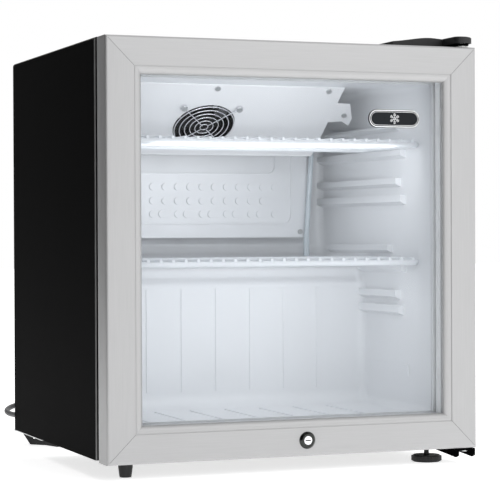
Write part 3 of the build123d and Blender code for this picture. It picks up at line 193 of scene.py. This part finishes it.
SILVER = (0.43, 0.43, 0.434)
mats = {
    "silver_across": material("silver_across", SILVER, 0.42, 0.55, grain=(1, 40, 60), scale=22, tint=0.03,
                              bump=0.10, depth=0.00012),
    "silver_upright": material("silver_upright", SILVER, 0.42, 0.55, grain=(60, 40, 1), scale=22, tint=0.03,
                               bump=0.10, depth=0.00012),
    "black_steel": material("black_steel", (0.0016, 0.0016, 0.0018), 0.5, spec=0.005, scale=60, tint=0.15,
                            bump=0.12, bump_scale=900, depth=0.00015),
    "white_liner": material("white_liner", (0.86, 0.87, 0.885), 0.34, scale=14, tint=0.012, bump=0.05,
                            bump_scale=260, depth=0.0002),
    "white_steel": material("white_steel", (0.86, 0.865, 0.875), 0.38, scale=20, tint=0.012, bump=0.06,
                            bump_scale=500, depth=0.00015),
    "grey_steel": material("grey_steel", (0.30, 0.31, 0.32), 0.45, 0.6, scale=35, tint=0.18, bump=0.05),
    "foam": material("foam", (0.80, 0.70, 0.42), 0.9, scale=120, tint=0.1, bump=0.5, depth=0.001),
    # one grey for the dark mitre joint lines of the frame and for the painted highlight on the shell's front
    # rim
    "joint_line_and_painted_rim_highlight": material("joint_line_and_painted_rim_highlight", (0.16, 0.16, 0.16), 0.4, 0.5, scale=60, tint=0.1),
    # near-black metal for the chrome lock housing: a painted dark reflection
    "lock_painted_dark_reflection": material("lock_painted_dark_reflection", (0.045, 0.047, 0.045), 0.16, 1.0, scale=200, tint=0.2, bump=0.02),
    "clear_glass": clear_glass("clear_glass", (0.985, 0.99, 0.995), 1.10),
    "black_plastic": material("black_plastic", (0.012, 0.012, 0.013), 0.48, spec=0.4, scale=80, tint=0.12,
                              bump=0.18, bump_scale=1400, depth=0.00012),
    "dial_white": material("dial_white", (0.72, 0.72, 0.71), 0.45, scale=70, tint=0.03),
    "white_wire": material("white_wire", (0.88, 0.90, 0.925), 0.30, scale=160, tint=0.02, bump=0.08,
                           depth=0.0001),
    "bright_chrome": material("bright_chrome", (0.78, 0.78, 0.80), 0.14, 1.0, scale=200, tint=0.03,
                              bump=0.02, rough_var=0.04),
    "zinc_steel": material("zinc_steel", (0.56, 0.57, 0.57), 0.35, 0.95, scale=180, tint=0.10, bump=0.06),
    "evaporator_aluminium": material("evaporator_aluminium", (0.85, 0.86, 0.875), 0.42, 0.25, scale=30,
                                     tint=0.02, bump=0.05),
    "drain_plastic": material("drain_plastic", (0.66, 0.72, 0.76), 0.28, scale=90, tint=0.05, coat=0.3),
    "grey_gasket": material("grey_gasket", (0.30, 0.30, 0.31), 0.65, scale=120, tint=0.06, bump=0.1),
    "badge_enamel": material("badge_enamel", (0.006, 0.008, 0.011), 0.3, spec=0.2, scale=60, tint=0.1,
                             bump=0.0),
    "trim_white": material("trim_white", (0.80, 0.81, 0.82), 0.4, scale=60, tint=0.02, bump=0.05),
    "badge_silver": material("badge_silver", (0.78, 0.79, 0.80), 0.22, 1.0, scale=300, tint=0.03),
    "black_compressor": material("black_compressor", (0.010, 0.010, 0.011), 0.30, spec=0.5, scale=40,
                                 tint=0.2, bump=0.12, bump_scale=220),
    "relay_plastic": material("relay_plastic", (0.03, 0.03, 0.032), 0.5, scale=80, tint=0.1, bump=0.1),
    "copper_pipe": material("copper_pipe", (0.70, 0.34, 0.20), 0.28, 1.0, scale=45, tint=0.16, bump=0.04),
    "black_rubber": material("black_rubber", (0.016, 0.016, 0.017), 0.62, spec=0.35, scale=150, tint=0.1,
                             bump=0.12, bump_scale=1100),
    "lead_grey": material("lead_grey", (0.20, 0.20, 0.205), 0.5, spec=0.4, scale=150, tint=0.08, bump=0.10,
                          bump_scale=1100),
}

# ------------------------------------------------------------ mains lead: one tube from gland to plug
HANK_TURN = radians(-38)
HANK_AXIS = Vector((cos(HANK_TURN), sin(HANK_TURN), 0))
HANK_SIDE = Vector((-HANK_AXIS.y, HANK_AXIS.x, 0))
HALF_RUN, LEAD_R = 0.056, 0.0033
OUTER, INNER = 0.0267, 0.0200            # radii of the two nested turns
FAR_SHORT, LOOSE_SHORT = 0.021, 0.006    # far folds stop short; the loose top turn reaches past the others
RUN_STEPS, FOLD_STEPS = 6, 8             # control points in a run and in a fold
FOLD_ROUND = 1.015                       # control points lie just outside the arc that they draw
LOOSE_START = (0.0240, 0.0250)           # radius and height where the lead joins the loose turn
LOOSE_LOW, LOOSE_HIGH = 0.0176, 0.0290   # the loose turn slopes across its far fold
FAR_FOLD_X, FAR_FOLD_Y = -0.2056, 0.2
HANK_MID = Vector((FAR_FOLD_X, FAR_FOLD_Y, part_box("cord_hank")[0].z)) + HANK_AXIS * HALF_RUN
LAYERS = (0.0036, 0.0104, 0.0172)
LEAD_ROUTE = [(-0.070, 0.102, 0.080), (-0.086, 0.102, 0.080), (-0.103, 0.100, 0.075), (-0.117, 0.103, 0.065),
              (-0.128, 0.111, 0.055), (-0.140, 0.121, 0.0475)]


def on_hank(x, y, z):
    return HANK_MID + HANK_AXIS * x + HANK_SIDE * y + Vector((0, 0, z))


def turn_points(run_a, far, run_b, near, short=FAR_SHORT):
    """Control points of one turn: out along one side, round the far fold, back, round the near fold.
    Each part gives (radius, height) at its start and end."""
    points = []
    back = short - HALF_RUN
    for (r0, z0), (r1, z1), kind in ((*run_a, "a"), (*far, "far"), (*run_b, "b"), (*near, "near")):
        steps = RUN_STEPS if kind in "ab" else FOLD_STEPS
        for step in range(steps):
            t = (step + 0.5) / steps
            ease = t * t * (3 - 2 * t)
            r, z = r0 + (r1 - r0) * ease, z0 + (z1 - z0) * ease
            if kind == "a":
                points.append(on_hank(HALF_RUN + (back - HALF_RUN) * t, -r, z))
            elif kind == "b":
                points.append(on_hank(back + (HALF_RUN - back) * t, r, z))
            else:
                angle = pi * t
                side, middle = (-1, back) if kind == "far" else (1, HALF_RUN)
                bend = side * r * FOLD_ROUND
                points.append(on_hank(middle + bend * sin(angle), bend * cos(angle), z))
    return points


low, mid, top = LAYERS
p_in3, p_in2, p_in1 = (INNER, top), (INNER, mid), (INNER, low)
p_out1, p_out2 = (OUTER, low), (OUTER, mid)
LAST_TURN = 2 * RUN_STEPS + FOLD_STEPS       # the last turn ends before its near fold
lead_points = [Vector(p) for p in LEAD_ROUTE]
turns = [
    turn_points((LOOSE_START, (OUTER, LOOSE_LOW)), ((OUTER, LOOSE_LOW), (OUTER, LOOSE_HIGH)),
                ((OUTER, LOOSE_HIGH), p_in3), (p_in3, p_in3), LOOSE_SHORT),
    turn_points((p_in3, p_in3), (p_in3, p_in3), (p_in3, p_in2), (p_in2, p_in2)),
    turn_points((p_in2, p_in2), (p_in2, p_in2), (p_in2, p_in1), (p_in1, p_in1)),
    turn_points((p_in1, p_out1), (p_out1, p_out1), (p_out1, p_out1), (p_out1, p_out1)),
    turn_points((p_out1, p_out2), (p_out2, p_out2), (p_out2, p_out2), (p_out2, p_out2))[:LAST_TURN],
]
lead_points += turns[0][1:] + turns[1] + turns[2] + turns[3] + turns[4]
PLUG_SIDE = 0.0269
TO_PLUG = ((0.004, OUTER, mid), (0.013, PLUG_SIDE, 0.0115), (0.022, PLUG_SIDE, 0.013))
lead_points += [on_hank(HALF_RUN + past, side, height) for past, side, height in TO_PLUG]
lead_curve = curve_of("mains_lead", lead_points, LEAD_R, sides=5)
lead = add_piece("mains_lead", lead_curve, "cabinet", mats["lead_grey"],
                 ("mains_cord", "cord_hank"))

# ------------------------------------------------------------ finishes of the CAD nodes
UPRIGHT = ("door_rail_left", "door_rail_right")
LOOKS = {"silver_frame": "silver_across"}
WHITE_TRIM = ("glazing_spacer", "door_back_trim")
finish_of = {}
for part in frame["record"]["subparts"]:
    node, slot = part["node"], part["material_slot"]
    look_name = "silver_upright" if node in UPRIGHT else LOOKS.get(slot, slot)
    look_name = "trim_white" if node in WHITE_TRIM else look_name
    finish_of[node] = (slot, mats[look_name])
    nodes[node].data.materials.clear()
    nodes[node].data.materials.append(mats[look_name])

# painted highlight: the front rim faces of the black shell get a lighter grey, standing for light caught on
# the bend
shell = nodes["outer_shell"].data
shell.materials.append(mats["joint_line_and_painted_rim_highlight"])
shell_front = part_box("outer_shell")[0].y
RIM_DEPTH, RIM_FACING, RIM_X = 0.0012, -0.3, 0.2235      # the folded front edge, painted a lighter grey to stand for a highlight line along the bend
for face in shell.polygons:
    if face.center.y < shell_front + RIM_DEPTH and face.normal.y < RIM_FACING and abs(face.center.x) > RIM_X:
        face.material_index = 1
# painted reflection: the chrome lock housing gets a near-black metal, standing for dark surroundings mirrored
# in it
nodes["lock_housing"].data.materials[0] = mats["lock_painted_dark_reflection"]
finish_of["lock_housing"] = ("bright_chrome", mats["lock_painted_dark_reflection"])

body_of = {n: b for b, ns in frame["record"]["behaviour"]["bodies"].items() for n in ns}


RIBBED = ("inner_liner", "evaporator_plate", "compressor")      # their flat faces stay split
WELD, FLAT_ANGLE = 2e-6, 0.6


def soften(node, width, segments=2, angle=34):
    """A copy of a CAD node with welded faces and softly rounded edges, shown in its place."""
    bm = bmesh.new()
    bm.from_mesh(nodes[node].data)
    bmesh.ops.remove_doubles(bm, verts=bm.verts, dist=WELD)
    if node not in RIBBED:
        bmesh.ops.dissolve_limit(bm, angle_limit=radians(FLAT_ANGLE), verts=bm.verts, edges=bm.edges)
    rows = [v.co.copy() for v in bm.verts]
    bm.verts.index_update()
    faces = [[v.index for v in f.verts] for f in bm.faces]
    bm.free()
    mesh = bpy.data.meshes.new(node + "_finished")
    mesh.from_pydata(rows, [], faces)
    mesh.shade_smooth()
    mesh.set_sharp_from_angle(angle=radians(angle))
    slot, look = finish_of[node]
    piece = add_piece(node + "_finished", mesh, body_of[node], look, (node,))
    bevel = piece.modifiers.new("soft_edges", "BEVEL")
    bevel.limit_method, bevel.angle_limit = "ANGLE", radians(angle)
    bevel.width, bevel.segments, bevel.harden_normals = width, segments, True
    bevel.use_clamp_overlap = True
    return piece


for node, width in (("door_rail_left", 0.0003), ("door_rail_right", 0.0003), ("door_rail_top", 0.0003),
                    ("door_rail_bottom", 0.0003), ("inner_liner", 0.0022), ("front_left_foot", 0.0006),
                    ("rear_feet", 0.0006), ("bottom_hinge_bracket", 0.0003), ("lock_housing", 0.0002),
                    ("fan_cover", 0.0003), ("wall_spacers", 0.0008), ("evaporator_plate", 0.0011),
                    ("relay_cover", 0.0006), ("thermostat_housing", 0.0006), ("lock_barrel", 0.0002),
                    ("fan_frame", 0.0004), ("drip_pan", 0.0004), ("top_hinge_cover", 0.0006),
                    ("compressor", 0.0006)):
    soften(node, width)

# ------------------------------------------------------------ foam, drawn just inside the sheet metal
FOAM_INSET = 0.0008
core = bmesh.new()
core.from_mesh(nodes["insulation_foam"].data)
bmesh.ops.remove_doubles(core, verts=core.verts, dist=WELD)
core.normal_update()
for vert in core.verts:
    vert.co -= vert.normal * FOAM_INSET
add_piece("foam_core", mesh_of("foam_core", core, smooth=False), body_of["insulation_foam"],
          mats["foam"], ("insulation_foam",))

# ------------------------------------------------------------ mitre lines of the frame
rail_low, rail_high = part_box("door_rail_left"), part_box("door_rail_right")
outer_x, outer_low, outer_high = rail_high[1].x, rail_low[0].z, rail_low[1].z
front_y = rail_low[0].y
MITRE, LINE_HALF, CORNER = 0.0322, 0.00022, 0.0030
LINE_LEVELS = (front_y - 0.00006, front_y + 0.0004)
mitre = bmesh.new()
for side in (-1, 1):
    for edge, up in ((outer_low, 1), (outer_high, -1)):
        across = Vector((side, 0, up)).normalized() * LINE_HALF
        start = Vector((side * (outer_x - CORNER), front_y, edge + up * CORNER))
        stop = Vector((side * (outer_x - MITRE), front_y, edge + up * MITRE))
        ring = [start - across, stop - across, stop + across, start + across]
        add_bar(mitre, ring, LINE_LEVELS)
bmesh.ops.recalc_face_normals(mitre, faces=mitre.faces)
add_piece("mitre_lines", mesh_of("mitre_lines", mitre, smooth=False), "door",
          mats["joint_line_and_painted_rim_highlight"])

# ------------------------------------------------------------ badge: silver rim and a snowflake
low_b, high_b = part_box("door_badge")
badge_x, badge_z = (low_b.x + high_b.x) / 2, (low_b.z + high_b.z) / 2
badge_y, badge_r = low_b.y, (high_b.z - low_b.z) / 2
badge_run = (high_b.x - low_b.x) / 2 - (high_b.z - low_b.z) / 2
RIM_INSET, RIM_SINK, RIM_R, LINE_INSET, LINE_R = 0.0011, 0.0002, 0.0007, 0.0029, 0.0003
PILL_STEPS = 12
FLAKE_ARM, FLAKE_HALF, FLAKE_THICK = 0.0062, 0.00042, 0.0004
TWIG, TWIG_HALF, TWIG_AT, TWIG_TURN = 0.0018, 0.00034, (0.0028, 0.0044), pi / 3.2


def pill(inset, y):
    points = []
    for side in (1, -1):
        for step in range(PILL_STEPS + 1):
            angle = -pi / 2 + pi * step / PILL_STEPS
            points.append((badge_x + side * (badge_run + (badge_r - inset) * cos(angle)), y,
                           badge_z + side * (badge_r - inset) * sin(angle)))
    return points


rim = curve_of("badge_rim", pill(RIM_INSET, badge_y + RIM_SINK), RIM_R, cyclic=True)
add_piece("badge_rim", rim, "door", mats["badge_silver"])
inner_line = curve_of("badge_inner_line", pill(LINE_INSET, badge_y), LINE_R, cyclic=True)
add_piece("badge_inner_line", inner_line, "door", mats["badge_silver"])
flake = bmesh.new()


def flake_bar(x0, z0, x1, z1, half):
    along = Vector((x1 - x0, 0, z1 - z0))
    across = Vector((-along.z, 0, along.x)).normalized() * half
    ring = [Vector((x0, 0, z0)) - across, Vector((x1, 0, z1)) - across, Vector((x1, 0, z1)) + across,
            Vector((x0, 0, z0)) + across]
    centre = Vector((badge_x, 0, badge_z))
    add_bar(flake, [centre + p for p in ring], (badge_y - FLAKE_THICK, badge_y + FLAKE_THICK))


for arm in range(6):
    a = pi / 6 + arm * pi / 3
    flake_bar(0, 0, FLAKE_ARM * cos(a), FLAKE_ARM * sin(a), FLAKE_HALF)
    for out in TWIG_AT:
        for twist in (-1, 1):
            b = a + twist * TWIG_TURN
            x, z = out * cos(a), out * sin(a)
            flake_bar(x, z, x + TWIG * cos(b), z + TWIG * sin(b), TWIG_HALF)
bmesh.ops.recalc_face_normals(flake, faces=flake.faces)
add_piece("badge_snowflake", mesh_of("badge_snowflake", flake, smooth=False), "door",
          mats["badge_silver"])

# ------------------------------------------------------------ floor, sky and lights
floor = bpy.data.objects.new("floor", bpy.data.meshes.new("floor"))
FLOOR_HALF, FLOOR_GLOW = 12, 0.75
floor.data.from_pydata([(x * FLOOR_HALF, y * FLOOR_HALF, 0) for x, y in ((-1, -1), (1, -1), (1, 1), (-1, 1))],
                       [], [(0, 1, 2, 3)])
pale = material("floor", (0.93, 0.93, 0.93), 0.8, spec=0.1, scale=3, tint=0.005, bump=0.0)
pale.node_tree.nodes["Principled BSDF"].inputs["Emission Color"].default_value = (1, 1, 1, 1)
pale.node_tree.nodes["Principled BSDF"].inputs["Emission Strength"].default_value = FLOOR_GLOW
floor.data.materials.append(pale)
scene.collection.objects.link(floor)

flag = bpy.data.objects.new("flag", bpy.data.meshes.new("flag"))
FLAG_X, FLAG_Y, FLAG_Z = -0.85, (-0.85, 2.8), (0.03, 2.2)         # dark card beside the black side
flag.data.from_pydata([(FLAG_X, FLAG_Y[i], FLAG_Z[k]) for i, k in ((0, 0), (1, 0), (1, 1), (0, 1))],
                      [], [(0, 1, 2, 3)])
flag.data.materials.append(material("flag", (0.015, 0.015, 0.015), 0.9, spec=0.0, scale=3, bump=0.0))
flag.visible_camera = False
scene.collection.objects.link(flag)

world = bpy.data.worlds.new("studio")
scene.world = world
world.use_nodes = True
world.node_tree.nodes["Background"].inputs["Color"].default_value = (1, 1, 1, 1)
world.node_tree.nodes["Background"].inputs["Strength"].default_value = 1.0


def softbox(name, place, aim, size, power, color=(1, 1, 1), size_y=None):
    light = bpy.data.lights.new(name, "AREA")
    light.shape, light.size, light.size_y = "RECTANGLE", size, size_y or size
    light.energy, light.color = power, color
    lamp = bpy.data.objects.new(name, light)
    lamp.location = place
    lamp.rotation_euler = (Vector(aim) - Vector(place)).to_track_quat("-Z", "Y").to_euler()
    lamp.visible_camera = False
    scene.collection.objects.link(lamp)
    return lamp


softbox("key", (0.9, -2.2, 1.5), (0, 0, 0.25), 1.3, 7)
softbox("edge_strip", (-1.5, -1.7, 0.5), (-0.2, -0.22, 0.25), 0.12, 1.2, size_y=1.6)
COOL, LAMP_WIDTH = (0.985, 0.99, 1.0), 0.30      # the lamps inside the cabinet
softbox("inner_top", (0, -0.165, 0.442), (0, 0.0, 0.30), LAMP_WIDTH, 0.07, COOL, 0.03)
softbox("inner_mid", (0, -0.178, 0.36), (0, 0.1, 0.30), LAMP_WIDTH, 0.12, COOL, 0.02)
softbox("inner_low", (0, -0.16, 0.225), (0, -0.05, 0.05), LAMP_WIDTH, 0.055, COOL, 0.04)

scene.view_settings.view_transform = "Standard"
scene.view_settings.look = "None"
